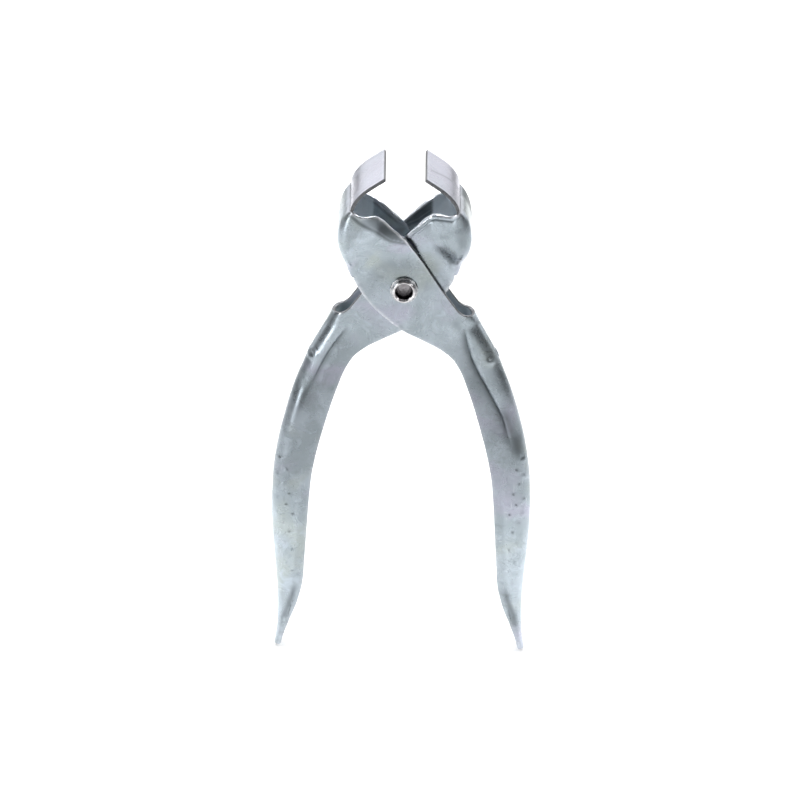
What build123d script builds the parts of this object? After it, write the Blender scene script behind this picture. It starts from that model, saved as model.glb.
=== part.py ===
from build123d import *
import os
from math import sin, cos, radians, hypot

# Stamped sheet-steel hand seamer: two crossing channel levers on one hollow
# rivet.  Upright pose, millimetres.  +Z runs up the tool towards the jaws, +X
# to the right, +Y away from the front face.  The origin is the middle of the
# rivet's axis, which lies along Y.

os.makedirs("parts", exist_ok=True)

# ---------------------------------------------------------------- dimensions
T = 1.5                 # sheet thickness
LAYER_GAP = 0.15        # free gap between two cheeks that slide past each other
Y_OUT = 6.45            # outer face of the outermost cheek at the pivot
Y_IN = Y_OUT - T - LAYER_GAP    # outer face of the inner cheek (4.80)
BLADE_HALF = 14.3       # half the width of the jaw blade, along Y
DISH_FLAT_R = 15.0      # cheeks are flat inside this radius about the pivot
DISH_END_R = 23.5       # and are dished outwards up to this radius
DISH_RISE = 3.0
RAMP_SLOPE = 0.64       # cheeks flare from here to the width of the blade
RAMP_X0 = -18.4         # the flare starts on this line: x = X0 + K*z
RAMP_K = 0.329

SHANK_R = 3.5           # hollow rivet
BORE_R = 2.7
HEAD_R = 4.9
HEAD_H = 1.8
RUN_CLEAR = 0.05        # radial clearance of the moving lever on the rivet
WASHER_R = 5.5
WASHER_T = 1.0
REAR_GAP = 0.10         # end float under the rear washer

# Blade and head of the left jaw, outer face, from the tip down to the window.
BLADE_OUTER = [(-8.5, 51.0), (-11.8, 48.3), (-15.5, 45.4), (-18.6, 42.4),
               (-20.7, 39.5), (-21.7, 36.8)]
HEAD_OUTER = [(-21.7, 36.8), (-24.0, 33.6), (-25.8, 30.0), (-26.3, 26.4),
              (-25.9, 22.0), (-24.9, 17.6), (-22.6, 10.8), (-20.8, 6.2),
              (-18.8, 1.8)]
# Free edge of the cheek around the pivot, from the end of the head's spine
# down to the crotch, and the edge on the V side.
CHEEK_LOW = [(-18.8, 1.8), (-13.6, -5.6), (-6.6, -12.6), (0.0, -17.9)]
CHEEK_V = [(-21.7, 36.8), (-14.6, 33.6), (-9.2, 31.6), (-4.4, 27.4), (0.6, 22.6)]
# Edge that runs straight down past the rivet to the handle.
CHEEK_DIAG = [(0.6, 22.6), (11.4, 4.9), (16.0, -2.2), (21.8, -10.2), (24.0, -11.6)]

# Right handle: outer face of the spine, and free edge of the cheeks.
HANDLE_OUTER = [(27.2, -11.8), (31.0, -17.9), (36.5, -28.5), (41.3, -40.5),
                (45.6, -53.5), (49.2, -69.5), (50.9, -88.0), (50.6, -106.0),
                (48.9, -124.0), (48.0, -138.0), (48.2, -148.0), (49.2, -157.0)]
HANDLE_INNER = [(0.0, -17.9), (8.6, -22.0), (15.0, -25.8), (19.3, -29.6),
                (22.7, -35.2), (27.0, -47.1), (30.5, -59.0), (33.3, -70.0),
                (35.4, -81.0), (36.9, -98.8), (37.8, -116.0), (38.9, -130.0),
                (40.6, -137.5), (43.6, -145.0), (46.8, -153.0), (47.9, -158.5)]


def prism(points, y0, y1):
    """Straight-sided block of an X-Z polygon from y0 to y1."""
    wire = Wire.make_polygon([Vector(x, 0, z) for x, z in points], close=True)
    face = Face(wire)
    return Solid.extrude(face.moved(Location((0, y0, 0))), Vector(0, y1 - y0, 0))


def dish(y_flat, sign):
    """Disc whose face is flat in the middle and rises towards the rim."""
    pts = [(0, 0), (DISH_FLAT_R, 0), (DISH_END_R, DISH_RISE), (40, DISH_RISE),
           (40, -3), (0, -3)]
    # revolve about the rivet axis
    wire = Wire.make_polygon([Vector(r, sign * (y_flat + y), 0) for r, y in pts],
                             close=True)
    solid = Solid.revolve(Face(wire), 360, Axis((0, 0, 0), (0, 1, 0)))
    return solid & Pos(0, 0, 5 + 30) * Box(90, 60, 60)


def ramp(y_flat, y_max, sign):
    """Wedge that carries the cheek out to the width of the blade."""
    length = (y_max - y_flat) / RAMP_SLOPE
    pts = [(4, -3), (0, 0), (-length, y_max - y_flat), (-60, y_max - y_flat),
           (-60, -3)]
    z0, z1 = -10.0, 60.0
    wires = []
    for z in (z0, z1):
        xs = RAMP_X0 + RAMP_K * z
        wires.append(Wire.make_polygon(
            [Vector(xs + x, sign * (y_flat + y), z) for x, y in pts], close=True))
    return Solid.make_loft(wires, ruled=True)


def envelope(inset):
    """Everything between the two cheeks' faces, inset from the outer skin."""
    f, r, m = Y_OUT - inset, Y_IN - inset, BLADE_HALF - inset
    body = Pos(0, (r - f) / 2, -40) * Box(240, r + f, 360)
    for y, s in ((f, -1), (r, 1)):
        body = body + dish(y, s)
        body = body + ramp(y, m, s)
    return body


def offset_path(pts, d):
    """Points moved to the left of the path by d."""
    out = []
    for i, (x, z) in enumerate(pts):
        a = pts[max(i - 1, 0)]
        b = pts[min(i + 1, len(pts) - 1)]
        ux, uz = b[0] - a[0], b[1] - a[1]
        n = hypot(ux, uz)
        out.append((x - uz / n * d, z + ux / n * d))
    return out


def d_section(i, pts, inset, depth_in):
    """Half-round section of the handle, square to its outer face."""
    x, z = pts[i]
    a = pts[max(i - 1, 0)]
    b = pts[min(i + 1, len(pts) - 1)]
    ux, uz = b[0] - a[0], b[1] - a[1]
    n = hypot(ux, uz)
    nx, nz = uz / n, -ux / n        # towards the other handle
    yf, yr = -(Y_OUT - inset), Y_IN - inset
    ym, r = (yf + yr) / 2, (yr - yf) / 2

    def p(d, y):
        return Vector(x + nx * d, y, z + nz * d)
    s = r * 0.70710678
    rn = r * 0.86                   # the round is a little flatter than a circle
    arc1 = Edge.make_three_point_arc(p(inset + rn, yf), p(inset + rn * (1 - 0.7071), ym - s),
                                     p(inset, ym))
    arc2 = Edge.make_three_point_arc(p(inset, ym), p(inset + rn * (1 - 0.7071), ym + s),
                                     p(inset + rn, yr))
    l1 = Edge.make_line(p(inset + rn, yr), p(depth_in, yr))
    l2 = Edge.make_line(p(depth_in, yr), p(depth_in, yf))
    l3 = Edge.make_line(p(depth_in, yf), p(inset + rn, yf))
    return Wire([arc1, arc2, l1, l2, l3])


def handle():
    """Half-round open channel of the right handle."""
    n = len(HANDLE_OUTER)
    outer = Solid.make_loft([d_section(i, HANDLE_OUTER, 0, 24) for i in range(n)])
    # inner core runs a little past both ends so that the channel is open there
    ext = list(HANDLE_OUTER)
    first, second = ext[0], ext[1]
    k = 3.0 / hypot(first[0] - second[0], first[1] - second[1])
    ext[0] = (first[0] + (first[0] - second[0]) * k, first[1] + (first[1] - second[1]) * k)
    last, prev = ext[-1], ext[-2]
    k = 3.0 / hypot(last[0] - prev[0], last[1] - prev[1])
    ext[-1] = (last[0] + (last[0] - prev[0]) * k, last[1] + (last[1] - prev[1]) * k)
    inner = Solid.make_loft([d_section(i, ext, T, 26) for i in range(n)])
    shell = outer - inner
    # cheeks end on the inner edge line
    cut = HANDLE_INNER + [(-40, -190), (-60, -20)]
    shell = shell - prism(cut, -30, 30)
    return shell


def lever():
    """One stamping: left jaw, pivot cheeks and right handle."""
    skin = envelope(0)
    core = envelope(T)
    # head: outer shape less the hollow, which is open on the V side
    head_poly = HEAD_OUTER + CHEEK_LOW[1:-1] + [(0.0, -17.9), CHEEK_DIAG[2], CHEEK_DIAG[0]] \
        + CHEEK_V[::-1][1:-1]
    # the spine stops short of the cheeks' end, so that the other lever can pass
    inner_spine = offset_path(HEAD_OUTER[:-1], T)
    inner_spine[0] = (inner_spine[0][0] - 0.1, 38.0)
    hollow_poly = inner_spine + [(-30, 4.6), (-30, -30), (40, -30), (40, 60), (-19, 60)]
    head = prism(head_poly, -30, 30) & skin
    head = head - (prism(hollow_poly, -30, 30) & core)
    # pivot cheeks down to the handle
    arm_poly = [(-12.0, 4.9)] + CHEEK_DIAG[1:] + [
        (23.1, -14.5), (24.0, -16.0), (16.5, -27.1), (15.0, -25.8), (8.6, -22.0),
        (0.0, -17.9), (-6.6, -12.6), (-13.6, -5.6)]
    arm = prism(arm_poly, -Y_OUT, -(Y_OUT - T)) + prism(arm_poly, Y_IN - T, Y_IN)
    # blade
    inner = offset_path(BLADE_OUTER, T)
    blade_poly = BLADE_OUTER + [(-23.4, 34.6), (-21.4, 34.2), (-20.7, 35.9)] + inner[::-1][1:]
    blade = prism(blade_poly, -BLADE_HALF, BLADE_HALF)
    body = head + arm + blade + handle()
    return body


def rivet():
    """Hollow rivet with a rolled head at each end, revolved about Y."""
    yf = -(Y_OUT + WASHER_T)                    # under the front head
    yr = Y_OUT + REAR_GAP + WASHER_T            # under the rear head
    rm = (HEAD_R + BORE_R) / 2
    rr = (HEAD_R - BORE_R) / 2

    def arc_pts(y, s):
        return y + s * (HEAD_H - rr), y + s * HEAD_H

    with_edges = []
    fa, fb = arc_pts(yf, -1)
    ra, rb = arc_pts(yr, 1)
    def v(r, y):
        return Vector(r, y, 0)
    with_edges.append(Edge.make_line(v(BORE_R, ra), v(BORE_R, fa)))
    with_edges.append(Edge.make_three_point_arc(v(BORE_R, fa), v(rm, fb), v(HEAD_R, fa)))
    with_edges.append(Edge.make_line(v(HEAD_R, fa), v(HEAD_R, yf)))
    with_edges.append(Edge.make_line(v(HEAD_R, yf), v(SHANK_R, yf)))
    with_edges.append(Edge.make_line(v(SHANK_R, yf), v(SHANK_R, yr)))
    with_edges.append(Edge.make_line(v(SHANK_R, yr), v(HEAD_R, yr)))
    with_edges.append(Edge.make_line(v(HEAD_R, yr), v(HEAD_R, ra)))
    with_edges.append(Edge.make_three_point_arc(v(HEAD_R, ra), v(rm, rb), v(BORE_R, ra)))
    face = Face(Wire(with_edges))
    return Solid.revolve(face, 360, Axis((0, 0, 0), (0, 1, 0)))


def ring(r0, r1, y0, y1):
    """Flat washer about the rivet axis."""
    wire = Wire.make_polygon([Vector(r0, y0, 0), Vector(r1, y0, 0),
                              Vector(r1, y1, 0), Vector(r0, y1, 0)], close=True)
    return Solid.revolve(Face(wire), 360, Axis((0, 0, 0), (0, 1, 0)))


def hole(r):
    return Rot(90, 0, 0) * Cylinder(r, 40)


blank = lever()
front_lever = blank - hole(SHANK_R)
rear_lever = Rot(0, 0, 180) * (blank - hole(SHANK_R + RUN_CLEAR))
pivot_rivet = rivet()
front_washer = ring(SHANK_R, WASHER_R, -(Y_OUT + WASHER_T), -Y_OUT)
rear_washer = ring(SHANK_R, WASHER_R, Y_OUT + REAR_GAP, Y_OUT + REAR_GAP + WASHER_T)

nodes = {
    "front_lever": front_lever,
    "rear_lever": rear_lever,
    "pivot_rivet": pivot_rivet,
    "front_washer": front_washer,
    "rear_washer": rear_washer,
}
for name, shape in nodes.items():
    bb = shape.bounding_box()
    print(name, len(shape.solids()), round(shape.volume, 1),
          [round(v, 2) for v in (bb.min.X, bb.min.Y, bb.min.Z, bb.max.X, bb.max.Y, bb.max.Z)])
    export_step(shape, "parts/%s.step" % name)
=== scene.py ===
import bpy
import bmesh
import math
import numpy as np
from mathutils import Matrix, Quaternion, Vector
from mathutils.kdtree import KDTree


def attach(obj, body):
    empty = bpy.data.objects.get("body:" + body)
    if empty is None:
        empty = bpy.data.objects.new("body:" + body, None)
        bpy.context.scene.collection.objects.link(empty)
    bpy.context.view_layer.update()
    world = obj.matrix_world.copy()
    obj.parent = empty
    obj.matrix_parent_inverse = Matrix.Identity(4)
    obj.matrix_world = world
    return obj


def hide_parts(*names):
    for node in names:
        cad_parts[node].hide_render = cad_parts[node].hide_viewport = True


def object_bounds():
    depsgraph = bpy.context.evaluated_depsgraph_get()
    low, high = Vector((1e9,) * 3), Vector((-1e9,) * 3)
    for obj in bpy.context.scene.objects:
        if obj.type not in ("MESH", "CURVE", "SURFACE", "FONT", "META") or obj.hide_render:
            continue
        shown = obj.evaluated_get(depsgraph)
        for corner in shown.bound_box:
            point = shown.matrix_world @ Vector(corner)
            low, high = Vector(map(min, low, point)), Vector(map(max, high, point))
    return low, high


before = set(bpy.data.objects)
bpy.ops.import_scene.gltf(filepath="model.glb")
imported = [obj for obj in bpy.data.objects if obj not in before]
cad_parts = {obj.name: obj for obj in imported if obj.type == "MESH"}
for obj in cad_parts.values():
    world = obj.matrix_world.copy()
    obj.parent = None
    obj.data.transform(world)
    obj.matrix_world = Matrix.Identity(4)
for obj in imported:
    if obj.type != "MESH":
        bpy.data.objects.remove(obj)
CAD_LO, CAD_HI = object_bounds()

MM = 0.001
T = 1.4                    # sheet thickness shown, mm
Y_F, Y_R = 5.70, 4.05      # mid-sheet depth of the front and rear cheek, mm
CAP = 13.55                # mid-sheet depth of the cheeks at the blade
BLADE = 14.03
MID = (Y_R - Y_F) / 2

# ------------------------------------------------------------------ helpers


def sstep(a, b, x):
    t = np.clip((x - a) / (b - a), 0, 1)
    return t * t * (3 - 2 * t)


def spos(x, k):
    """max(x, 0) with a rounded corner k wide."""
    x = np.asarray(x, float)
    return np.where(x <= -k, 0, np.where(x >= k, x, (x + k) ** 2 / (4 * k)))


def smax(a, b, k):
    return b + spos(a - b, k)


def smin(a, b, k):
    return a - spos(a - b, k)


def curve(keys, n, corners=()):
    """Points along a smooth path through keys: n[i] steps in span i."""
    P = np.array(keys, float)
    m = len(P)
    chord = np.linalg.norm(np.diff(P, axis=0), axis=1)
    tan_in, tan_out = np.zeros_like(P), np.zeros_like(P)
    for i in range(m):
        if i == 0:
            t = (P[1] - P[0]) / chord[0]
            tan_in[i] = tan_out[i] = t
        elif i == m - 1:
            t = (P[-1] - P[-2]) / chord[-1]
            tan_in[i] = tan_out[i] = t
        elif i in corners:
            tan_in[i] = (P[i] - P[i - 1]) / chord[i - 1]
            tan_out[i] = (P[i + 1] - P[i]) / chord[i]
        else:
            a, b = (P[i] - P[i - 1]) / chord[i - 1], (P[i + 1] - P[i]) / chord[i]
            t = (a * chord[i] + b * chord[i - 1]) / (chord[i] + chord[i - 1])
            tan_in[i] = tan_out[i] = t
    out = []
    for i in range(m - 1):
        for j in range(n[i]):
            t = j / n[i]
            h00, h10 = 2 * t**3 - 3 * t**2 + 1, t**3 - 2 * t**2 + t
            h01, h11 = -2 * t**3 + 3 * t**2, t**3 - t**2
            out.append(h00 * P[i] + h10 * chord[i] * tan_out[i] + h01 * P[i + 1]
                       + h11 * chord[i] * tan_in[i + 1])
    out.append(P[-1])
    return np.array(out)


def seg_dist(X, Z, path):
    """Distance to a polyline, and the position along it from 0 to 1."""
    P = np.array(path, float)
    L = np.r_[0, np.cumsum(np.linalg.norm(np.diff(P, axis=0), axis=1))]
    best = np.full(np.shape(X), 1e9)
    side = np.zeros(np.shape(X))
    pos = np.zeros(np.shape(X))
    for i in range(len(P) - 1):
        a, d = P[i], P[i + 1] - P[i]
        q = np.clip(((X - a[0]) * d[0] + (Z - a[1]) * d[1]) / (d @ d), 0, 1)
        dx, dz = X - a[0] - q * d[0], Z - a[1] - q * d[1]
        r = np.hypot(dx, dz)
        m = r < best
        best = np.where(m, r, best)
        side = np.where(m, np.sign(d[0] * dz - d[1] * dx), side)
        pos = np.where(m, (L[i] + q * (L[i + 1] - L[i])) / L[-1], pos)
    return best, side, pos


# ------------------------------------------------- the stamping, left jaw lever
# Mid-sheet profile of the blade from its tip to the neck.
BLADE_MID = [(-8.1, 50.3), (-11.8, 47.75), (-15.6, 44.9), (-18.4, 41.95),
             (-20.1, 39.0), (-20.7, 36.4)]
# Row keys down the lever: left point, right point.  In the head the left
# point is the outer face, in the handle the right point is.
HEAD = [((-20.7, 36.4), (-20.1, 35.85)),
        ((-22.5, 34.75), (-17.8, 34.3)),
        ((-23.9, 32.4), (-14.8, 33.6)),
        ((-24.9, 29.4), (-12.0, 33.0)),
        ((-25.4, 26.0), (-9.6, 31.7)),
        ((-25.3, 21.8), (-4.6, 27.2)),
        ((-24.3, 17.4), (0.6, 22.5)),
        ((-22.1, 11.2), (5.7, 14.1)),
        ((-20.2, 6.2), (9.9, 7.4))]
PIVOT = [((-18.5, 2.3), (13.1, 2.3)),
         ((-13.6, -5.6), (16.6, -3.0)),
         ((-6.6, -12.6), (19.3, -6.8)),
         ((0.0, -17.7), (21.7, -9.9))]
ARM_CORNER = (23.4, -11.1)            # where the cheek's edge meets the handle's spine
HANDLE = [((8.0, -21.9), (27.2, -12.0)),
          ((14.6, -25.6), (30.2, -17.9)),
          ((19.3, -29.6), (32.9, -22.9)),
          ((22.7, -35.2), (35.8, -28.5)),
          ((25.6, -42.8), (38.9, -36.2)),
          ((28.6, -52.2), (42.1, -45.0)),
          ((30.9, -60.5), (44.8, -54.5)),
          ((33.3, -70.0), (47.3, -65.0)),
          ((35.4, -81.0), (49.3, -77.5)),
          ((36.4, -91.0), (50.1, -90.0)),
          ((37.2, -104.0), (49.9, -104.0)),
          ((38.0, -118.0), (48.7, -119.0)),
          ((38.9, -130.0), (47.6, -132.0)),
          ((40.8, -138.0), (47.3, -139.5)),
          ((43.4, -144.8), (47.4, -146.2)),
          ((45.7, -151.0), (47.8, -151.8)),
          ((47.0, -155.6), (48.4, -156.3))]


def head_flare(X, Z, base, slope, up):
    """Depth of a cheek: flat at the rivet, dished round it, flared to the blade."""
    r = np.hypot(X, Z)
    dish = 2.9 * sstep(13.5, 25.5, r) * up
    bend = -10.8 - 0.37 * spos(26.5 - Z, 4.0)
    ramp = slope * spos(bend - X, 0.9 + 4.0 * (1 - sstep(17, 29, Z))) * up
    return base + dish + ramp


CREST = [(-20.8, 34.6), (-18.2, 32.2), (-14.8, 29.8), (-10.2, 26.2), (-5.5, 22.7), (-1.0, 21.3),
         (3.5, 20.6), (8.0, 20.4)]
V_EDGE = [(-19.9, 35.85), (-17.8, 34.3), (-14.8, 33.6), (-12.0, 33.0), (-9.6, 31.7), (-4.6, 27.2),
          (0.6, 22.5)]
GROOVE_F = [(23.9, -13.4), (23.7, -19.0), (24.9, -24.6), (26.6, -30.2), (29.0, -35.6),
            (32.0, -41.2), (35.0, -47.2), (38.4, -54.1), (42.2, -64.5), (45.0, -74.5)]
GROOVE_R = [(20.8, -15.4), (23.0, -19.4), (25.6, -23.2), (28.4, -27.4), (30.9, -32.2),
            (33.2, -37.0), (35.7, -42.0), (38.6, -47.6), (41.4, -54.0), (43.6, -62.0)]
TROUGH = [(40.9, -128.5), (42.4, -135.0), (44.6, -141.5), (46.2, -147.0)]
# Raised grip pimples down both sides of the handle's outer half.
PIMPLES = [(46.2, -84.4), (44.0, -88.8), (47.9, -90.6), (45.2, -93.4), (42.6, -97.6), (47.6, -96.8),
           (46.3, -101.2), (43.9, -105.4), (47.2, -106.2), (45.6, -109.9), (42.6, -113.2),
           (46.6, -114.8), (44.9, -118.6), (42.6, -122.6), (45.6, -123.9), (44.2, -127.6),
           (47.3, -73.6), (45.1, -78.2), (47.9, -80.6)]


def fold(d, side):
    """Section of the crease by the spine: steep on its bulge, easy on the cheek."""
    return np.where(side > 0, np.exp(-(d / 1.15) ** 2), np.exp(-(d / 4.2) ** 1.25))


def front_y(X, Z):
    h = head_flare(X, Z, Y_F, 0.60, sstep(-5.0, 12.0, Z))
    # the outermost cheek is pressed out over its partner to a sharp crest,
    # and falls back from it like a roof to the edge of the notch
    d, side, pos = seg_dist(X, Z, CREST)
    u = -d * side                       # positive on the rivet's side of the crest
    v = spos(-u, 0.4)
    above = 2.0 - 0.09 * v - 0.036 * v ** 2
    below = 2.0 * (1 - sstep(0.0, 10.5, u))
    add = np.where(u < 0, above, below)
    dv, _, _ = seg_dist(X, Z, V_EDGE)
    add = np.maximum(add, -0.15)
    h = h + add * (1 - 0.72 * sstep(0.45, 0.80, pos)) * sstep(0.0, 0.10, pos)
    h = smin(h, CAP, 1.0)
    d, side, pos = seg_dist(X, Z, GROOVE_F)
    h = h - 1.45 * fold(d, side) * sstep(0, 0.12, pos) * (1 - sstep(0.72, 1.0, pos))
    return -lower_handle(X, Z, h)


def rear_y(X, Z):
    # the inner layer stays flat where the other lever's arm swings up
    slope = 0.78 * (0.55 + 0.45 * sstep(8.0, 22.0, Z))
    h = head_flare(X, Z, Y_R, slope, sstep(-1.0, 20.0, Z - 7.7 - 0.9 * (np.minimum(X, -9.7) + 9.7)))
    h = smin(h, CAP, 1.0)
    # a narrow rolled lip along the notch
    dv, _, pos = seg_dist(X, Z, V_EDGE)
    lip = (1 - sstep(0.84, 0.97, pos)) * sstep(0.0, 0.12, pos)
    h = h - (0.30 * np.exp(-((dv - 1.55) / 0.42) ** 2) + 0.35 * spos(0.9 - dv, 0.3)) * lip
    d, side, pos = seg_dist(X, Z, GROOVE_R)
    h = h - 1.25 * fold(d, side) * sstep(0, 0.14, pos) * (1 - sstep(0.6, 1.0, pos))
    return lower_handle(X, Z, h)


def lower_handle(X, Z, h):
    """Slight inward lean of the free edge low down, and the trough at its end."""
    d, _, pos = seg_dist(X, Z, TROUGH)
    h = h - 0.9 * np.exp(-(d / 1.5) ** 2) * sstep(0, 0.35, pos) * (1 - sstep(0.8, 1.0, pos))
    inner = np.interp(-Z, [60, 80, 100, 120, 130, 145, 160], [31, 35.3, 37, 38.1, 38.9, 43.4, 48])
    lean = spos(inner + 5.2 - X, 1.5) * sstep(-66, -92, Z)
    return h - 0.26 * lean


def build_lever(name):
    keys = HEAD + PIVOT + HANDLE
    nh, npv = len(HEAD), len(PIVOT)
    left = [k[0] for k in keys]
    right = [k[1] for k in keys]
    steps = []
    for i in range(len(keys) - 1):
        a = math.dist(left[i], left[i + 1])
        b = math.dist(right[i], right[i + 1])
        step = 0.62 if i > nh + npv + 5 else 0.8
        steps.append(max(2, int(round((a + b) / 2 / step))))
    s_end = nh - 1                        # the head's spine ends on this key
    h_start = nh + npv                    # the handle's spine starts on this key
    Lp = curve(left, steps, corners=(0,))
    arm = curve(right[:nh + npv] + [ARM_CORNER], steps[:nh + npv], corners=(6,))
    grip = curve(right[nh + npv:], steps[nh + npv:])
    Rp = np.vstack([arm[:-1], grip])
    cum = np.r_[0, np.cumsum(steps)]
    r_head, r_handle, rows = cum[s_end], cum[h_start], cum[-1] + 1
    tan = np.gradient
    tl = tan(Lp, axis=0)
    tr = np.vstack([tan(arm, axis=0)[:-1], tan(grip, axis=0)])

    W = np.linalg.norm(Rp - Lp, axis=1)
    # bend radius at the spine
    Rb = np.zeros(rows)
    for i in range(rows):
        if i <= r_head:
            q = i / r_head
            Rb[i] = min(0.42 * W[i], 3.3 * (1 - math.exp(-W[i] / 5.0))) * (
                1 - 0.72 * float(sstep(0.80, 1.0, q)))
        elif i >= r_handle:
            q = float(sstep(0, 8, i - r_handle))
            Rb[i] = min(3.67 + 0.88 * q, 0.72 * W[i])
    # inward normals at the outer face
    def unit(v):
        return v / np.linalg.norm(v, axis=1)[:, None]
    nl = unit(np.c_[-tl[:, 1], tl[:, 0]])
    nr = unit(np.c_[tr[:, 1], -tr[:, 0]])
    across = unit(Rp - Lp)
    # blend the normal with the row's own direction so that rows never cross
    nl = unit(0.5 * nl + 0.5 * across)
    nr = unit(0.5 * nr - 0.5 * across)
    CL, CR = Lp.copy(), Rp.copy()
    for i in range(rows):
        if i <= r_head:
            CL[i] = Lp[i] + nl[i] * Rb[i]
        elif i >= r_handle:
            q = float(sstep(0, 9, i - r_handle))
            v0 = np.array(ARM_CORNER) - Rp[r_handle]
            nr[i] = nr[i] * q + v0 / np.linalg.norm(v0) * (1 - q)
            nr[i] /= np.linalg.norm(nr[i])
            CR[i] = Rp[i] + nr[i] * Rb[i]
    # just outside the spine's ends the cheek's edge runs out to the outline
    k = 3
    for j in range(1, k):
        CL[r_head + j] = Lp[r_head + j] + (CL[r_head] - Lp[r_head]) * (1 - j / k)
    NC = 46
    verts, index = [], {}

    def add(key, p):
        index[key] = len(verts)
        verts.append(p)

    w = np.linspace(0, 1, NC)
    w_head = 1 - (1 - w) ** 1.35
    faces = []
    for side, fn in (("F", front_y), ("R", rear_y)):
        mix = 1 - sstep(r_head - 12, r_head + 14, np.arange(rows))
        ww = w[None, :] * (1 - mix)[:, None] + w_head[None, :] * mix[:, None]
        G = CL[:, None, :] * (1 - ww)[..., None] + CR[:, None, :] * ww[..., None]
        Y = fn(G[..., 0], G[..., 1])
        sgn = -1 if side == "F" else 1
        # the grid of this cheek's vertices, row by row
        for i in range(rows):
            for j in range(NC):
                add((side, i, j), (G[i, j, 0], Y[i, j], G[i, j, 1]))
        for i in range(rows - 1):
            for j in range(NC - 1):
                q = [index[(side, i, j)], index[(side, i, j + 1)],
                     index[(side, i + 1, j + 1)], index[(side, i + 1, j)]]
                faces.append(q if side == "R" else q[::-1])
        if side == "F":
            YF = Y
        else:
            YR = Y

    def strip(r0, r1, P, N, col, na, ns, flip, tag):
        """Bend, spine and bend that join the two cheeks over rows r0..r1."""
        for i in range(r0, r1 + 1):
            hf, hr = -YF[i, col], YR[i, col]
            rb = Rb[i]
            ry = rb if tag == "H" else max(rb, 0.46 * (hf + hr)) * (1 if rb > 2 else rb / 2)
            ry = min(ry, 0.48 * (hf + hr))
            pts = []
            for a in range(na + 1):               # front bend
                ph = math.pi / 2 * a / na
                pts.append((rb * (1 - math.sin(ph)), -(hf - ry) - ry * math.cos(ph)))
            for a in range(1, ns):
                pts.append((0.0, -(hf - ry) + (hf + hr - 2 * ry) * a / ns))
            for a in range(na + 1):
                ph = math.pi / 2 * a / na
                pts.append((rb * (1 - math.cos(ph)), (hr - ry) + ry * math.sin(ph)))
            last = len(pts) - 1
            for c, (d, y) in enumerate(pts):
                if c == 0:
                    index[(tag, i, 0)] = index[("F", i, col)]
                elif c == last:
                    index[(tag, i, last)] = index[("R", i, col)]
                else:
                    x, z = P[i] + N[i] * d
                    add((tag, i, c), (x, y, z))
        for i in range(r0, r1):
            for c in range(last):
                q = [index[(tag, i, c)], index[(tag, i, c + 1)],
                     index[(tag, i + 1, c + 1)], index[(tag, i + 1, c)]]
                faces.append(q[::-1] if flip else q)
        return last

    NA, NS = 9, 24
    last = strip(0, r_head, Lp, nl, 0, NA, NS, True, "H")
    strip(r_handle, rows - 1, Rp, nr, NC - 1, 14, 4, False, "G")
    # blade, joined to the first row of the head
    bl = curve(BLADE_MID, [7, 8, 8, 7, 5])
    first = [verts[index[("H", 0, c)]] for c in range(last + 1)]
    ys = np.array([p[1] for p in first])
    m = len(bl) - 1
    flat = np.linspace(-BLADE, BLADE, last + 1)
    for i in range(m):
        q = 1 - float(sstep(m - 9, m, i))
        for c in range(last + 1):
            y = flat[c] * q + ys[c] * (1 - q)
            if c in (0, last):
                y = math.copysign(BLADE - (BLADE - abs(ys[c])) * (1 - q), y)
            add(("B", i, c), (bl[i, 0], y, bl[i, 1]))
    for c in range(last + 1):
        index[("B", m, c)] = index[("H", 0, c)]
    for i in range(m):
        for c in range(last):
            q = [index[("B", i, c)], index[("B", i, c + 1)],
                 index[("B", i + 1, c + 1)], index[("B", i + 1, c)]]
            faces.append(q[::-1])
    me = bpy.data.meshes.new(name)
    me.from_pydata([tuple(v * MM for v in p) for p in verts], [], faces)
    me.validate()
    me.update()
    ob = bpy.data.objects.new(name, me)
    bpy.context.scene.collection.objects.link(ob)
    bm = bmesh.new()
    bm.from_mesh(me)
    bmesh.ops.recalc_face_normals(bm, faces=bm.faces)
    # make sure that the normals point out of the channel
    f = max(bm.faces, key=lambda q: q.calc_center_median().z - abs(q.calc_center_median().y) * 0)
    if f.normal.x > 0 or f.normal.z < 0:
        bmesh.ops.reverse_faces(bm, faces=bm.faces)
    raise_pimples(bm)
    bm.to_mesh(me)
    bm.free()
    return ob


def raise_pimples(bm):
    bm.normal_update()
    bm.verts.ensure_lookup_table()
    co = np.array([v.co for v in bm.verts]) / MM
    no = np.array([v.normal for v in bm.verts])
    push = np.zeros(len(co))
    # pips lie on both cheeks of the handle
    for side in (-1, 1):
        for k, (x, z) in enumerate(PIMPLES):
            if side > 0:
                z = z - 1.7
            d = np.hypot(co[:, 0] - x, co[:, 2] - z)
            m = (np.sign(co[:, 1] - MID) == side) & (co[:, 2] < -60)
            push += np.where(m, 0.36 * np.exp(-(d / 0.75) ** 2), 0)
    d = np.hypot(co[:, 0] - 35.2, co[:, 2] + 29.8)
    push += np.where(co[:, 1] > MID, 0.34 * np.exp(-((d - 1.35) / 0.5) ** 2), 0)
    d = np.hypot(co[:, 0] - 34.0, co[:, 2] + 31.0)
    push += np.where(co[:, 1] < MID, 0.5 * np.exp(-(d / 1.1) ** 2), 0)
    co = co + no * push[:, None]
    for v, p in zip(bm.verts, co):
        v.co = Vector(p) * MM


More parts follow.
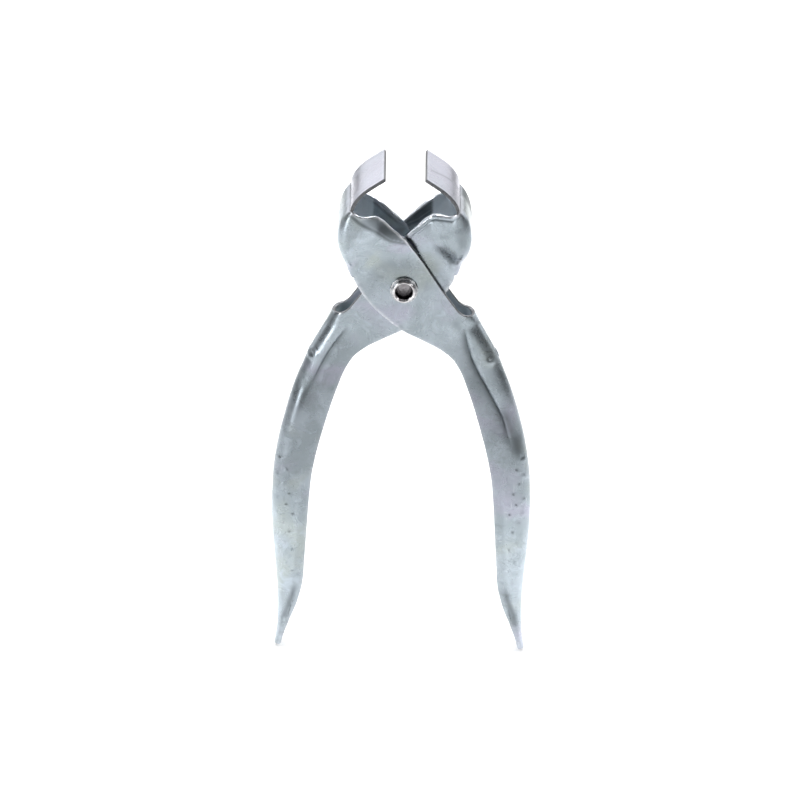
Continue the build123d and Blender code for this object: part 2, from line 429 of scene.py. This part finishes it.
def finish_sheet(ob):
    """Gives the mid-sheet its thickness, with a small round along its cut edges."""
    bm = bmesh.new()
    bm.from_mesh(ob.data)
    bm.normal_update()
    bm.verts.ensure_lookup_table()
    n = len(bm.verts)
    co = np.array([v.co for v in bm.verts])
    no = np.array([v.normal for v in bm.verts])
    faces = [[v.index for v in f.verts] for f in bm.faces]
    rim = [(l.vert.index, l.link_loop_next.vert.index)
           for e in bm.edges if len(e.link_faces) == 1 for l in e.link_loops]
    bm.free()
    nxt = dict(rim)
    prv = {b: a for a, b in rim}
    h = T / 2 * MM
    verts = list(co + no * h) + list(co - no * h)
    out = [f for f in faces] + [[v + n for v in f[::-1]] for f in faces]
    prof = [(T / 2 - 0.035, 0.105), (T / 2 - 0.13, 0.19), (T / 2 - 0.27, 0.225),
            (-T / 2 + 0.27, 0.225), (-T / 2 + 0.13, 0.19), (-T / 2 + 0.035, 0.105)]
    ob["rim_pts"] = [float(c) for v in nxt for c in co[v]]
    ring = {}
    for v in nxt:
        e = co[nxt[v]] - co[prv[v]]
        side = np.cross(e, no[v])
        side /= np.linalg.norm(side)
        ids = [v]
        for up, o in prof:
            ids.append(len(verts))
            verts.append(co[v] + no[v] * up * MM + side * o * MM)
        ids.append(v + n)
        ring[v] = ids
    # rim faces on the blade's top and on the arm's diagonal edge get the dark cut-edge material, partly painted
    # gap shade
    cut = []
    for a, b in rim:
        ra, rb = ring[a], ring[b]
        for k in range(len(ra) - 1):
            x, z = co[a][0] / MM, co[a][2] / MM
            if z > 35.7 or (z < 22.0 and x > 0.4 and z > -14 and x > 10.5 - z * 0.45):
                cut.append(len(out))
            out.append([rb[k], ra[k], ra[k + 1], rb[k + 1]])
    me = bpy.data.meshes.new(ob.name)
    me.from_pydata([tuple(p) for p in verts], [], out)
    at = me.attributes.new("inner", "FLOAT", "POINT")
    ins = np.zeros(len(verts))
    ins[n:2 * n] = 1
    at.data.foreach_set("value", ins)
    at = me.attributes.new("cutface", "INT", "FACE")
    vals = np.zeros(len(out), dtype=np.int32)
    vals[cut] = 1
    at.data.foreach_set("value", vals)
    me.validate()
    me.update()
    for p in me.polygons:
        p.use_smooth = True
    ob.data = me
    return ob


def bore(ob, r):
    bpy.ops.mesh.primitive_cylinder_add(vertices=72, radius=r * MM, depth=0.06,
                                        rotation=(math.pi / 2, 0, 0))
    cut = bpy.context.object
    mod = ob.modifiers.new("bore", "BOOLEAN")
    mod.operation = "DIFFERENCE"
    mod.object = cut
    mod.solver = "EXACT"
    dg = bpy.context.evaluated_depsgraph_get()
    me = bpy.data.meshes.new_from_object(ob.evaluated_get(dg))
    ob.modifiers.clear()
    ob.data = me
    bpy.data.objects.remove(cut, do_unlink=True)
    for p in me.polygons:
        p.use_smooth = True


def lathe(name, profile, seg=96):
    """Closed profile of (radius, y) in mm, turned about the Y axis."""
    n = len(profile)
    verts, faces = [], []
    for i in range(seg):
        a = 2 * math.pi * i / seg
        for r, y in profile:
            verts.append((r * math.cos(a) * MM, y * MM, r * math.sin(a) * MM))
    for i in range(seg):
        for j in range(n):
            a, b = i * n + j, i * n + (j + 1) % n
            c, d = ((i + 1) % seg) * n + (j + 1) % n, ((i + 1) % seg) * n + j
            faces.append((a, b, c, d))
    me = bpy.data.meshes.new(name)
    me.from_pydata(verts, [], faces)
    ob = bpy.data.objects.new(name, me)
    bpy.context.scene.collection.objects.link(ob)
    bm = bmesh.new()
    bm.from_mesh(me)
    bmesh.ops.recalc_face_normals(bm, faces=bm.faces)
    bm.to_mesh(me)
    bm.free()
    for p in me.polygons:
        p.use_smooth = True
    return ob


# ------------------------------------------------------------------ materials


class Nodes:
    """Short-hand for building a node tree."""

    def __init__(self, mat):
        mat.use_nodes = True
        self.t = mat.node_tree
        self.bsdf = self.t.nodes["Principled BSDF"]
        self.tc = self.t.nodes.new("ShaderNodeTexCoord").outputs["Object"]

    def put(self, val, sock):
        if isinstance(val, (int, float)):
            sock.default_value = val
        elif isinstance(val, tuple):
            sock.default_value = val if len(val) == len(sock.default_value) else (*val, 1.0)
        else:
            self.t.links.new(val, sock)

    def mapping(self, scale, rot=(0, 0, 0), loc=(0, 0, 0)):
        n = self.t.nodes.new("ShaderNodeMapping")
        self.put(self.tc, n.inputs["Vector"])
        n.inputs["Scale"].default_value = scale
        n.inputs["Rotation"].default_value = rot
        n.inputs["Location"].default_value = loc
        return n.outputs[0]

    def noise(self, vec, scale, detail=3.0, rough=0.5, dist=0.0):
        n = self.t.nodes.new("ShaderNodeTexNoise")
        self.put(vec, n.inputs["Vector"])
        n.inputs["Scale"].default_value = scale
        n.inputs["Detail"].default_value = detail
        n.inputs["Roughness"].default_value = rough
        n.inputs["Distortion"].default_value = dist
        return n.outputs["Fac"]

    def ramp(self, val, a, b, lo=0.0, hi=1.0):
        n = self.t.nodes.new("ShaderNodeMapRange")
        n.interpolation_type = "SMOOTHSTEP"
        self.put(val, n.inputs["Value"])
        for key, v in (("From Min", a), ("From Max", b), ("To Min", lo), ("To Max", hi)):
            n.inputs[key].default_value = v
        return n.outputs["Result"]

    def math(self, op, a, b):
        n = self.t.nodes.new("ShaderNodeMath")
        n.operation = op
        self.put(a, n.inputs[0])
        self.put(b, n.inputs[1])
        return n.outputs[0]

    def mix(self, fac, a, b, mode="MIX"):
        n = self.t.nodes.new("ShaderNodeMix")
        n.data_type = "RGBA"
        n.blend_type = mode
        self.put(fac, n.inputs[0])
        self.put(a, n.inputs[6])
        self.put(b, n.inputs[7])
        return n.outputs[2]

    def attr(self, name):
        n = self.t.nodes.new("ShaderNodeAttribute")
        n.attribute_name = name
        return n.outputs["Fac"]

    def bump(self, height, strength, distance):
        n = self.t.nodes.new("ShaderNodeBump")
        n.inputs["Strength"].default_value = strength
        n.inputs["Distance"].default_value = distance
        self.put(height, n.inputs["Height"])
        return n.outputs["Normal"]


def zinc(name, level=1.0):
    """Zinc-plated sheet: cool grey, clouded with blue, green and lilac."""
    m = bpy.data.materials.new(name)
    k = Nodes(m)
    obj = k.mapping((1, 1, 1))
    c = lambda r, g, b: (r * level, g * level, b * level)
    big = k.noise(obj, 62, 4.0, 0.55, 0.7)
    mid = k.noise(k.mapping((1, 1, 1), loc=(0.31, 0.12, 0.77)), 150, 4.0, 0.6, 0.9)
    tint = k.noise(k.mapping((1, 1, 1), loc=(0.9, 0.4, 0.2)), 44, 3.0, 0.5, 0.5)
    col = k.mix(k.ramp(big, 0.36, 0.64), c(0.339, 0.389, 0.422), c(0.447, 0.505, 0.558))
    col = k.mix(k.ramp(tint, 0.52, 0.68, 0.0, 0.65), col, c(0.390, 0.435, 0.417))
    col = k.mix(k.ramp(tint, 0.46, 0.30, 0.0, 0.70), col, c(0.424, 0.423, 0.515))
    col = k.mix(k.ramp(mid, 0.55, 0.72, 0.0, 0.50), col, c(0.531, 0.603, 0.673))
    col = k.mix(k.ramp(mid, 0.42, 0.26, 0.0, 0.50), col, c(0.243, 0.273, 0.288))
    # light handling scratches along the levers
    fine = k.noise(k.mapping((1, 1, 0.10), rot=(0, 0.35, 0)), 2100, 2.0, 0.5, 0.0)
    fine2 = k.noise(k.mapping((0.12, 1, 1), rot=(0, 0.5, 0)), 1700, 2.0, 0.5, 0.0)
    scr = k.math("MAXIMUM", k.ramp(fine, 0.64, 0.76), k.ramp(fine2, 0.66, 0.78))
    col = k.mix(k.math("MULTIPLY", scr, 0.30), col, c(0.656, 0.719, 0.760))
    lilac = k.math("MULTIPLY", k.attr("blade"), k.ramp(tint, 0.25, 0.60, 0.35, 0.95))
    col = k.mix(lilac, col, c(0.470, 0.470, 0.545))
    # painted shade: this attribute darkens the colour towards near black in the creases, along the crest, on the
    # roof and on patches of the cheeks
    painted_shade = k.attr("painted_shade")
    col = k.mix(k.math("MULTIPLY", painted_shade, 0.72), col, c(0.096, 0.110, 0.117))
    # edge wear with a painted highlight: the marked edges are mixed towards pale grey
    edge_wear_and_highlight = k.attr("edge_wear_and_highlight")
    wear_and_highlight = k.math("MULTIPLY", edge_wear_and_highlight, k.ramp(mid, 0.30, 0.62, 0.15, 0.85))
    col = k.mix(wear_and_highlight, col, c(0.702, 0.720, 0.760))
    # painted shading: this attribute multiplies the colour to paint shade and light over the sheet
    painted_shading = k.attr("painted_shading")
    shade = k.t.nodes.new("ShaderNodeCombineColor")
    for s_ in shade.inputs[:3]:
        k.put(k.math("MULTIPLY", painted_shading, 1.0), s_)
    col = k.mix(1.0, col, shade.outputs[0], "MULTIPLY")
    # painted light: the far cheeks' flared inner faces are mixed towards near white
    painted_light = k.attr("painted_light")
    col = k.mix(k.math("MULTIPLY", painted_light, 0.95), col, (0.92, 0.96, 1.0))
    k.put(col, k.bsdf.inputs["Base Color"])
    k.bsdf.inputs["Metallic"].default_value = 1.0
    r = k.math("ADD", k.ramp(mid, 0.25, 0.75, 0.17, 0.31), k.math("MULTIPLY", k.ramp(big, 0.3, 0.7), 0.06))
    r = k.math("ADD", r, k.math("MULTIPLY", painted_shade, 0.10))
    r = k.math("ADD", r, k.math("MULTIPLY", k.attr("inner"), 0.32))
    k.put(r, k.bsdf.inputs["Roughness"])
    soft = k.noise(obj, 260, 3.0, 0.55, 0.3)
    h = k.math("ADD", k.math("MULTIPLY", soft, 1.0), k.math("MULTIPLY", fine, 0.10))
    k.put(k.bump(h, 0.065, 0.00035), k.bsdf.inputs["Normal"])
    return m


def steel(name, base, r0, r1, scale=900):
    m = bpy.data.materials.new(name)
    k = Nodes(m)
    n = k.noise(k.mapping((1, 1, 1)), scale, 3.0, 0.55, 0.4)
    dark = tuple(v * 0.62 for v in base)
    k.put(k.mix(k.ramp(n, 0.35, 0.62), dark, base), k.bsdf.inputs["Base Color"])
    k.bsdf.inputs["Metallic"].default_value = 1.0
    k.put(k.ramp(n, 0.3, 0.7, r0, r1), k.bsdf.inputs["Roughness"])
    k.put(k.bump(n, 0.15, 0.0002), k.bsdf.inputs["Normal"])
    return m


def paint_shade_light_and_wear(ob):
    """Stores painted shade in the pressed creases and on the cheeks, painted shading and painted light, and edge
    wear with a painted highlight, per vertex.
    """
    me = ob.data
    co = np.array([v.co for v in me.vertices]) / MM
    X, Z = co[:, 0], co[:, 2]
    front = co[:, 1] < MID
    painted_shade = np.zeros(len(co))
    # painted shade along the pressed creases of the handles
    for path, m, amt in ((GROOVE_F, front, 0.95), (GROOVE_R, ~front, 0.80)):
        d, side, pos = seg_dist(X, Z, path)
        g = np.where(side > 0, np.exp(-(d / 1.1) ** 2), 0.30 * np.exp(-d / 3.6) + 0.70 * np.exp(-(d / 1.3) ** 2))
        g = amt * g * sstep(0, 0.10, pos) * (1 - sstep(0.70, 1.0, pos))
        painted_shade = np.maximum(painted_shade, np.where(m, g, 0))
    # painted shade in the trough at the handle's end
    d, _, pos = seg_dist(X, Z, TROUGH)
    painted_shade = np.maximum(painted_shade, 0.75 * np.exp(-(d / 1.2) ** 2) * sstep(0, 0.3, pos) * (1 - sstep(0.8, 1.0, pos)))
    # broad shade on the bulge beside the lower part of the outer crease
    d, _, pos = seg_dist(X, Z, [(37.2, -48.2), (41.2, -56.5), (44.6, -65.5), (46.8, -74.5)])
    g = 0.85 * np.exp(-(d / 2.4) ** 2) * sstep(0, 0.25, pos) * (1 - sstep(0.75, 1, pos))
    painted_shade = np.maximum(painted_shade, np.where(front, g, 0))
    # shade at the top of the outer crease
    d, _, pos = seg_dist(X, Z, [(20.6, -14.6), (24.2, -20.5)])
    painted_shade = np.maximum(painted_shade, np.where(front, 0.5 * np.exp(-(d / 2.0) ** 2), 0))
    # painted dark line along the front cheek's crest
    d, side, pos = seg_dist(X, Z, CREST)
    g = 1.05 * np.exp(-(d / 0.85) ** 2) * (1 - sstep(0.78, 0.95, pos))
    painted_shade = np.maximum(painted_shade, np.where(front, g, 0))
    # painted shade in the crease below the rear cheek's rolled lip
    dv, _, pos = seg_dist(X, Z, V_EDGE)
    g = 0.7 * np.exp(-((dv - 1.55) / 0.40) ** 2) * (1 - sstep(0.84, 0.97, pos)) * (Z > 20)
    painted_shade = np.maximum(painted_shade, np.where(front, 0, g))
    # painted shade on the roof above the crest, and painted shade smudges on the other cheek
    d, side, pos = seg_dist(X, Z, CREST)
    roof = (d * side > 0.2) * sstep(0.25, 1.2, d) * sstep(0.12, 0.45, pos)
    painted_shade = np.maximum(painted_shade, np.where(front & (d < 7.5) & (Z > 20), 1.05 * roof, 0))
    for path in ([(-16.0, 26.3), (-19.9, 28.9), (-24.5, 30.5)], [(-12.9, 23.7), (-17.9, 25.8)]):
        d, _, pos = seg_dist(X, Z, path)
        g = 0.34 * np.exp(-(d / 1.0) ** 2) * sstep(0, 0.2, pos) * (1 - sstep(0.8, 1, pos))
        painted_shade = np.maximum(painted_shade, np.where(front, 0, g))
    # faint line inside the blade's border
    Y = co[:, 1]
    line = 0.16 * np.exp(-((np.abs(np.abs(Y) - 12.0)) / 0.45) ** 2) * sstep(38.5, 40.5, Z)
    painted_shade = np.maximum(painted_shade, line)
    at = me.attributes.new("painted_shade", "FLOAT", "POINT")
    at.data.foreach_set("value", painted_shade)
    # painted shade along the upper grip and painted light towards its end
    painted_shading = 1 - 0.30 * sstep(-16, -46, Z) * (1 - sstep(-76, -100, Z)) + 0.10 * sstep(-92, -112, Z)
    # painted shade on the strip by the handle's inner edge, low down
    inner_edge = np.interp(-Z, [60, 80, 100, 120, 130, 145], [31, 35.3, 37, 38.1, 38.9, 43.4])
    strip = (1 - sstep(2.6, 4.4, X - inner_edge)) * sstep(-74, -96, Z)
    painted_shading = painted_shading * (1 - 0.16 * strip)
    # the rear lever painted slightly darker
    painted_shading = painted_shading * np.where(front, 1.0, 0.96)
    # painted shade towards the middle of the two cheeks
    r1, r2 = np.hypot(X + 1, Z - 8), np.hypot(X + 15, Z - 14)
    painted_shading = painted_shading * np.where(front, 1 - 0.15 * np.exp(-(r1 / 14) ** 2), 1 - 0.20 * np.exp(-(r2 / 13) ** 2))
    at = me.attributes.new("painted_shading", "FLOAT", "POINT")
    at.data.foreach_set("value", painted_shading)
    ins = np.zeros(len(co))
    me.attributes["inner"].data.foreach_get("value", ins)
    # painted light on the far cheeks' flared inner faces
    at = me.attributes.new("painted_light", "FLOAT", "POINT")
    at.data.foreach_set("value", ins * sstep(10.2, 11.2, np.abs(X)) * sstep(6.5, 7.5, np.abs(co[:, 1])) * sstep(20, 23, Z))
    at = me.attributes.new("blade", "FLOAT", "POINT")
    at.data.foreach_set("value", sstep(33.5, 38.5, Z))
    at = me.attributes.new("edge_wear_and_highlight", "FLOAT", "POINT")
    pts = ob["rim_pts"]
    pts = np.array(pts).reshape(-1, 3)
    kd = KDTree(len(pts))
    for i, p in enumerate(pts):
        kd.insert(Vector(p), i)
    kd.balance()
    dist = np.array([kd.find(v.co)[2] for v in me.vertices]) / MM
    # wear with a painted highlight: bright on the notch and the arms' lower edges, hardly at all elsewhere
    zone = np.full(len(co), 0.30)
    d1, _, _ = seg_dist(X, Z, V_EDGE)
    d2, _, _ = seg_dist(X, Z, [(-18.5, 2.3), (-13.6, -5.6), (-6.6, -12.6), (0.0, -17.7)])
    zone = np.maximum(zone, 1 - sstep(1.5, 3.0, np.minimum(d1, d2)))
    at.data.foreach_set("value", zone * np.exp(-(np.maximum(dist - 0.7, 0) / 0.35) ** 2))
    del ob["rim_pts"]


# --------------------------------------------------------------------- build

blank = build_lever("front_stamping")
finish_sheet(blank)
paint_shade_light_and_wear(blank)
rear = blank.copy()
rear.data = blank.data.copy()
rear.name = "rear_stamping"
bpy.context.scene.collection.objects.link(rear)
for v in rear.data.vertices:
    v.co = Vector((-v.co.x, -v.co.y, v.co.z))
co = np.array([v.co for v in rear.data.vertices]) / MM
g = np.zeros(len(co))
rear.data.attributes["painted_shade"].data.foreach_get("value", g)
# painted shade patch on the far jaw's shoulder, and a dark line across the top of the blade
shoulder_painted_shade = 1.20 * sstep(21.3, 22.3, co[:, 0]) * sstep(24.5, 29.0, co[:, 2]) * sstep(1.0, 6.0, co[:, 1]) * (
    1 - sstep(36.0, 36.8, co[:, 2]))
d, _, pos = seg_dist(co[:, 0], co[:, 1], [(10.1, -3.1), (18.0, 1.0)])
mark = 0.60 * np.exp(-(d / 0.55) ** 2) * (co[:, 2] > 40)
rear.data.attributes["painted_shade"].data.foreach_set("value", np.maximum(np.maximum(g, shoulder_painted_shade), mark))
# painted shade: the far lever's blade darker
tn = np.zeros(len(co))
rear.data.attributes["painted_shading"].data.foreach_get("value", tn)
rear.data.attributes["painted_shading"].data.foreach_set("value", tn * (1 - 0.14 * sstep(36.0, 38.5, co[:, 2])))
zm = zinc("zinc_plate")
# dark bare cut edges, which also stand for painted shade in the gap along the arm's edge and on the blade's top
ce = steel("cut_edge_and_gap_shade", (0.17, 0.175, 0.185), 0.35, 0.55)
for o in (blank, rear):
    o.data.materials.clear()
    o.data.materials.append(zm)
    o.data.materials.append(ce)
    vals = np.zeros(len(o.data.polygons), dtype=np.int32)
    o.data.attributes["cutface"].data.foreach_get("value", vals)
    o.data.polygons.foreach_set("material_index", vals)
bore(blank, 3.5)
bore(rear, 3.55)

YF0, YR0 = 6.45, 6.55
WT, HH, HR, BR, SR = 1.0, 1.8, 4.9, 2.7, 3.5


def rivet_profile():
    """Closed outline of the hollow rivet: funnel mouth, rolled lip, shank."""
    yf, yr = -(YF0 + WT), YR0 + WT
    lip = [(BR, -1.6), (2.80, -0.8), (2.98, -0.1), (3.17, 0.55), (3.33, 1.02), (3.52, 1.36), (3.76, 1.56),
           (4.02, 1.62), (4.28, 1.55), (4.50, 1.38), (4.68, 1.10), (4.80, 0.76), (4.86, 0.42), (4.87, 0.16),
           (4.80, 0.0)]
    front = [(r, yf - h) for r, h in lip]
    rear_ = [(r, yr + h) for r, h in lip]
    return front + [(SR, yf), (SR, yr)] + rear_[::-1]


def washer_profile(y0, y1, r0, r1, b=0.44):
    """Closed outline of a collar with rounded outer corners."""
    pts = [(r0, y0)]
    for c, a0 in ((y0 + b, 0.0), (y1 - b, math.pi / 2)):
        for k in range(7):
            a = a0 + math.pi / 2 * k / 6
            pts.append((r1 - b + b * math.sin(a), c - b * math.cos(a)))
    return pts + [(r0, y1)]


rivet = lathe("hollow_rivet", rivet_profile())
wf = lathe("front_collar", washer_profile(-(YF0 + WT), -YF0, SR, 5.5))
wr = lathe("rear_collar", washer_profile(YR0, YR0 + WT, SR, 5.5))

rs = steel("rivet_plate", (0.80, 0.785, 0.80), 0.14, 0.26)
ws = steel("collar_plate", (0.56, 0.575, 0.59), 0.18, 0.32)
# painted shade: the bore and the funnel mouth are the rivet's own steel, coloured darker for the shade inside
# the hollow
bs = steel("bore_painted_shade", (0.15, 0.14, 0.15), 0.16, 0.26)
fs = steel("funnel_painted_shade", (0.42, 0.40, 0.42), 0.08, 0.16)
for m in (rs, bs, fs):
    rivet.data.materials.append(m)
for p in rivet.data.polygons:
    r = math.hypot(p.center.x, p.center.z) / MM
    p.material_index = 1 if r < 2.86 else 2 if r < 3.42 and abs(p.center.y) > YF0 * MM else 0
for o in (wf, wr):
    o.data.materials.append(ws)

for o, body, node, slot in ((blank, "front_half", "front_lever", "zinc_sheet"),
                            (rear, "rear_half", "rear_lever", "zinc_sheet"),
                            (rivet, "front_half", "pivot_rivet", "rivet_steel"),
                            (wf, "front_half", "front_washer", "washer_steel"),
                            (wr, "front_half", "rear_washer", "washer_steel")):
    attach(o, body)
    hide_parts(node)

# --------------------------------------------------------------- floor, light

floor_z = CAD_LO[2] - 0.0002
bpy.ops.mesh.primitive_plane_add(size=12, location=(0, 2, floor_z))
floor = bpy.context.object
floor.name = "floor"
fm = bpy.data.materials.new("floor_white")
fm.use_nodes = True
fm.node_tree.nodes["Principled BSDF"].inputs["Base Color"].default_value = (0.86, 0.86, 0.86, 1)
fm.node_tree.nodes["Principled BSDF"].inputs["Roughness"].default_value = 0.9
floor.data.materials.append(fm)

world = bpy.data.worlds.new("studio")
bpy.context.scene.world = world
world.use_nodes = True
wn = world.node_tree
bg = wn.nodes["Background"]
tc = wn.nodes.new("ShaderNodeTexCoord")
sep = wn.nodes.new("ShaderNodeSeparateXYZ")
wn.links.new(tc.outputs["Generated"], sep.inputs[0])


def wmap(sock, a, b, lo, hi):
    n = wn.nodes.new("ShaderNodeMapRange")
    n.interpolation_type = "SMOOTHSTEP"
    n.inputs["From Min"].default_value = a
    n.inputs["From Max"].default_value = b
    n.inputs["To Min"].default_value = lo
    n.inputs["To Max"].default_value = hi
    wn.links.new(sock, n.inputs["Value"])
    return n.outputs["Result"]


def wmath(op, p, q):
    n = wn.nodes.new("ShaderNodeMath")
    n.operation = op
    wn.links.new(p, n.inputs[0])
    wn.links.new(q, n.inputs[1])
    return n.outputs[0]


back_wall = wmath("MULTIPLY", wmap(sep.outputs["Y"], -0.05, 0.75, 0.0, 1.30),
                  wmap(sep.outputs["Z"], 0.62, 0.25, 0.12, 1.0))
front = wmap(sep.outputs["Y"], -0.9, 0.2, 0.10, 0.20)
total = wmath("ADD", back_wall, front)
bg.inputs["Color"].default_value = (1, 1, 1, 1)
wn.links.new(total, bg.inputs["Strength"])


def area(name, loc, target, size, power, sy=None):
    li = bpy.data.lights.new(name, "AREA")
    li.energy = power
    li.shape = "RECTANGLE"
    li.size = size
    li.size_y = sy or size
    ob = bpy.data.objects.new(name, li)
    ob.location = loc
    d = Vector(target) - Vector(loc)
    ob.rotation_euler = d.to_track_quat("-Z", "Y").to_euler()
    bpy.context.scene.collection.objects.link(ob)
    return ob


area("sky_left", (-0.30, 0.16, 0.46), (0, 0.12, -0.157), 0.28, 3.1)
area("sky_right", (0.30, 0.16, 0.46), (0, 0.12, -0.157), 0.28, 3.1)
area("sweep", (0, 0.80, 0.80 - 0.157), (0, 0.80, -0.157), 0.60, 8.0)
area("left_box", (-0.51, -0.67, 0.04), (0, 0, -0.03), 0.30, 1.75, 0.36)
area("left_high", (-0.75, -0.30, 0.48), (0, 0, 0.02), 0.30, 1.3)
area("right_high", (0.75, -0.30, 0.48), (0, 0, 0.02), 0.30, 1.3)
area("front_right", (0.53, -0.78, 0.33), (0, 0, 0.02), 0.14, 0.55)
area("front_left", (-0.53, -0.78, 0.33), (0, 0, 0.02), 0.14, 0.35)

EL = math.radians(25.4)
DIST = 6.0
cam = bpy.data.cameras.new("camera")
cam.sensor_width = 36
cam.lens = 36 * DIST / 0.312
co = bpy.data.objects.new("camera", cam)
bpy.context.scene.collection.objects.link(co)
aim = Vector((-0.00096, -0.0245, -0.0390))
back = Vector((0, -math.cos(EL), math.sin(EL)))
co.location = aim + back * DIST
roll = Quaternion((0, 0, 1), math.radians(0.8))
co.rotation_euler = ((-back).to_track_quat("-Z", "Y") @ roll).to_euler()
cam.clip_start, cam.clip_end = 0.1, 50
bpy.context.scene.camera = co
bpy.context.scene.view_settings.view_transform = "Standard"
